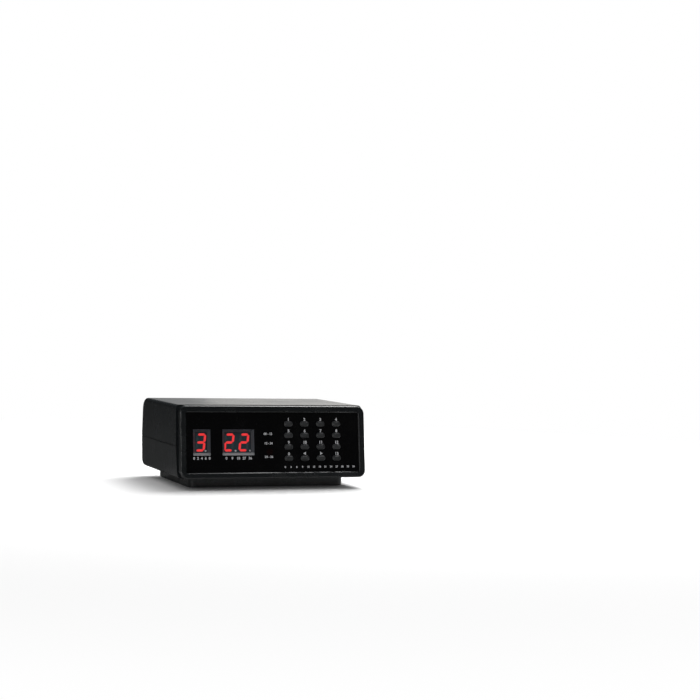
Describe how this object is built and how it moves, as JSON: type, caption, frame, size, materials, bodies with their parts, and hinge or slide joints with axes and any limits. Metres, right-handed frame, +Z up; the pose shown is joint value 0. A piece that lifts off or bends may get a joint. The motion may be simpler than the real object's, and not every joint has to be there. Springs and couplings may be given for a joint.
{
  "type": "antenna rotator controller",
  "caption": "Table-top control box with a leaning glossy front, LED number displays, a square field of push keys and rear spring wire terminals.",
  "frame": {"origin": "under the middle of the box, on the surface it stands on", "axes": "+Z up, the display front faces -Y, +X to the right of a user facing the front"},
  "size_m": [0.151, 0.1239, 0.0639],
  "materials": {
    "housing_black": "moulded ABS, fine grain",
    "bezel_black": "smooth moulded ABS",
    "panel_black": "polished",
    "key_black": "satin",
    "display_face": "cast face with lit segments",
    "board_green": "solder resist",
    "component_black": "moulded",
    "steel": "plated",
    "steel_black": "black oxide",
    "sensor_red": "dark infrared pass",
    "core_iron": "laminated, varnished",
    "winding_copper": "enamelled wire",
    "bobbin_white": "moulded nylon",
    "aluminium": "drawn",
    "relay_blue": "moulded",
    "fuse_glass": "glass tube with plated caps",
    "ribbon_grey": "flat cable",
    "terminal_black": "moulded",
    "lever_grey": "moulded",
    "rubber_black": "moulded"
  },
  "bodies": {
    "housing": {"board_screws": "steel", "case_screws": "steel_black", "controller_chip": "component_black", "cord_gland": "rubber_black", "crystal": "steel", "filter_capacitors": "aluminium", "front_bezel": "bezel_black", "front_board": "board_green", "front_board_screws": "steel", "front_header": "bobbin_white", "front_panel": "panel_black", "fuse": "fuse_glass", "fuse_clips": "steel", "heading_display": "display_face", "heat_sink": "aluminium", "ir_receiver": "component_black", "lever_pin": "steel", "lower_case": "housing_black", "main_board": "board_green", "main_header": "bobbin_white", "mains_terminal": "bobbin_white", "memory_display": "display_face", "motor_capacitor": "aluminium", "regulator": "component_black", "relays": "relay_blue", "ribbon_cable": "ribbon_grey", "rubber_feet": "rubber_black", "sensor_lens": "sensor_red", "switch_domes": "steel", "switch_housings": "component_black", "terminal_block": "terminal_black", "terminal_strips": "steel", "transformer_bobbin": "bobbin_white", "transformer_core": "core_iron", "transformer_winding": "winding_copper", "upper_cover": "housing_black", "wire_sockets": "terminal_black"},
    "key_01": {"key_01": "key_black"},
    "key_02": {"key_02": "key_black"},
    "key_03": {"key_03": "key_black"},
    "key_04": {"key_04": "key_black"},
    "key_05": {"key_05": "key_black"},
    "key_06": {"key_06": "key_black"},
    "key_07": {"key_07": "key_black"},
    "key_08": {"key_08": "key_black"},
    "key_09": {"key_09": "key_black"},
    "key_10": {"key_10": "key_black"},
    "key_11": {"key_11": "key_black"},
    "key_12": {"key_12": "key_black"},
    "key_13": {"key_13": "key_black"},
    "key_14": {"key_14": "key_black"},
    "key_15": {"key_15": "key_black"},
    "key_16": {"key_16": "key_black"},
    "wire_lever_01": {"wire_lever_01": "lever_grey"},
    "wire_lever_02": {"wire_lever_02": "lever_grey"},
    "wire_lever_03": {"wire_lever_03": "lever_grey"}
  },
  "joints": [
    {"name": "key_01_press", "type": "slide", "parent": "housing", "child": "key_01", "axis": [0, 0.9903, -0.1392], "range_m": [0, 0.0008], "stiffness_N_per_m": 1000, "springref_m": -0.0003},
    {"name": "key_02_press", "type": "slide", "parent": "housing", "child": "key_02", "axis": [0, 0.9903, -0.1392], "range_m": [0, 0.0008], "stiffness_N_per_m": 1000, "springref_m": -0.0003},
    {"name": "key_03_press", "type": "slide", "parent": "housing", "child": "key_03", "axis": [0, 0.9903, -0.1392], "range_m": [0, 0.0008], "stiffness_N_per_m": 1000, "springref_m": -0.0003},
    {"name": "key_04_press", "type": "slide", "parent": "housing", "child": "key_04", "axis": [0, 0.9903, -0.1392], "range_m": [0, 0.0008], "stiffness_N_per_m": 1000, "springref_m": -0.0003},
    {"name": "key_05_press", "type": "slide", "parent": "housing", "child": "key_05", "axis": [0, 0.9903, -0.1392], "range_m": [0, 0.0008], "stiffness_N_per_m": 1000, "springref_m": -0.0003},
    {"name": "key_06_press", "type": "slide", "parent": "housing", "child": "key_06", "axis": [0, 0.9903, -0.1392], "range_m": [0, 0.0008], "stiffness_N_per_m": 1000, "springref_m": -0.0003},
    {"name": "key_07_press", "type": "slide", "parent": "housing", "child": "key_07", "axis": [0, 0.9903, -0.1392], "range_m": [0, 0.0008], "stiffness_N_per_m": 1000, "springref_m": -0.0003},
    {"name": "key_08_press", "type": "slide", "parent": "housing", "child": "key_08", "axis": [0, 0.9903, -0.1392], "range_m": [0, 0.0008], "stiffness_N_per_m": 1000, "springref_m": -0.0003},
    {"name": "key_09_press", "type": "slide", "parent": "housing", "child": "key_09", "axis": [0, 0.9903, -0.1392], "range_m": [0, 0.0008], "stiffness_N_per_m": 1000, "springref_m": -0.0003},
    {"name": "key_10_press", "type": "slide", "parent": "housing", "child": "key_10", "axis": [0, 0.9903, -0.1392], "range_m": [0, 0.0008], "stiffness_N_per_m": 1000, "springref_m": -0.0003},
    {"name": "key_11_press", "type": "slide", "parent": "housing", "child": "key_11", "axis": [0, 0.9903, -0.1392], "range_m": [0, 0.0008], "stiffness_N_per_m": 1000, "springref_m": -0.0003},
    {"name": "key_12_press", "type": "slide", "parent": "housing", "child": "key_12", "axis": [0, 0.9903, -0.1392], "range_m": [0, 0.0008], "stiffness_N_per_m": 1000, "springref_m": -0.0003},
    {"name": "key_13_press", "type": "slide", "parent": "housing", "child": "key_13", "axis": [0, 0.9903, -0.1392], "range_m": [0, 0.0008], "stiffness_N_per_m": 1000, "springref_m": -0.0003},
    {"name": "key_14_press", "type": "slide", "parent": "housing", "child": "key_14", "axis": [0, 0.9903, -0.1392], "range_m": [0, 0.0008], "stiffness_N_per_m": 1000, "springref_m": -0.0003},
    {"name": "key_15_press", "type": "slide", "parent": "housing", "child": "key_15", "axis": [0, 0.9903, -0.1392], "range_m": [0, 0.0008], "stiffness_N_per_m": 1000, "springref_m": -0.0003},
    {"name": "key_16_press", "type": "slide", "parent": "housing", "child": "key_16", "axis": [0, 0.9903, -0.1392], "range_m": [0, 0.0008], "stiffness_N_per_m": 1000, "springref_m": -0.0003},
    {"name": "wire_lever_01_push", "type": "hinge", "parent": "housing", "child": "wire_lever_01", "pos_m": [-0.046, 0.0575, 0.024], "axis": [1, 0, 0], "range_deg": [0, 16], "stiffness_Nm_per_rad": 0.06, "springref_deg": -8.59},
    {"name": "wire_lever_02_push", "type": "hinge", "parent": "housing", "child": "wire_lever_02", "pos_m": [-0.034, 0.0575, 0.024], "axis": [1, 0, 0], "range_deg": [0, 16], "stiffness_Nm_per_rad": 0.06, "springref_deg": -8.59},
    {"name": "wire_lever_03_push", "type": "hinge", "parent": "housing", "child": "wire_lever_03", "pos_m": [-0.022, 0.0575, 0.024], "axis": [1, 0, 0], "range_deg": [0, 16], "stiffness_Nm_per_rad": 0.06, "springref_deg": -8.59}
  ]
}
